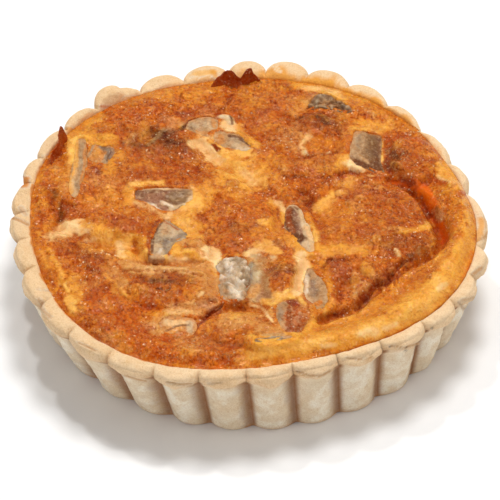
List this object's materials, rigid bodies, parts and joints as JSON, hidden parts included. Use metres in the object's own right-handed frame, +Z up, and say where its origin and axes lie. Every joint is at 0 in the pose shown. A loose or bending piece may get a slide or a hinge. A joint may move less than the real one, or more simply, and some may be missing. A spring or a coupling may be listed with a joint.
{
  "type": "quiche",
  "caption": "Round individual quiche: a fluted pastry shell with a browned egg and cheese filling, mushroom pieces and crisp flakes standing out of its top.",
  "frame": {"origin": "middle of the underside, at the centre of the box round the whole quiche", "axes": "+Z up through the filling; -Y towards the side that faces the viewer in the picture, +X to that viewer's right"},
  "size_m": [0.1182, 0.1208, 0.0263],
  "materials": {
    "crust": "pale baked shortcrust pastry, floury and matt",
    "filling": "golden to brown baked cheese and egg, porous with a light oily gloss",
    "mushroom": "cooked mushroom, pale flesh and brown skin, moist",
    "crisp_flake": "dark red-brown crisp of baked cheese, satin"
  },
  "bodies": {
    "root": {"crust": "crust", "filling": "filling", "mushroom_slab_left": "mushroom", "mushroom_grey_left": "mushroom", "mushroom_oval_middle": "mushroom", "mushroom_large_back_right": "mushroom", "mushroom_gills_back": "mushroom", "mushroom_beige_back_left": "mushroom", "mushroom_long_back": "mushroom", "mushroom_strip_left": "mushroom", "mushroom_blue_left": "mushroom", "mushroom_crumbly_front": "mushroom", "mushroom_pale_front_right": "mushroom", "mushroom_brown_front": "mushroom", "mushroom_pale_front_left": "mushroom", "mushroom_edge_front": "mushroom", "crisp_flake_left": "crisp_flake", "crisp_flake_back": "crisp_flake"}
  },
  "joints": []
}
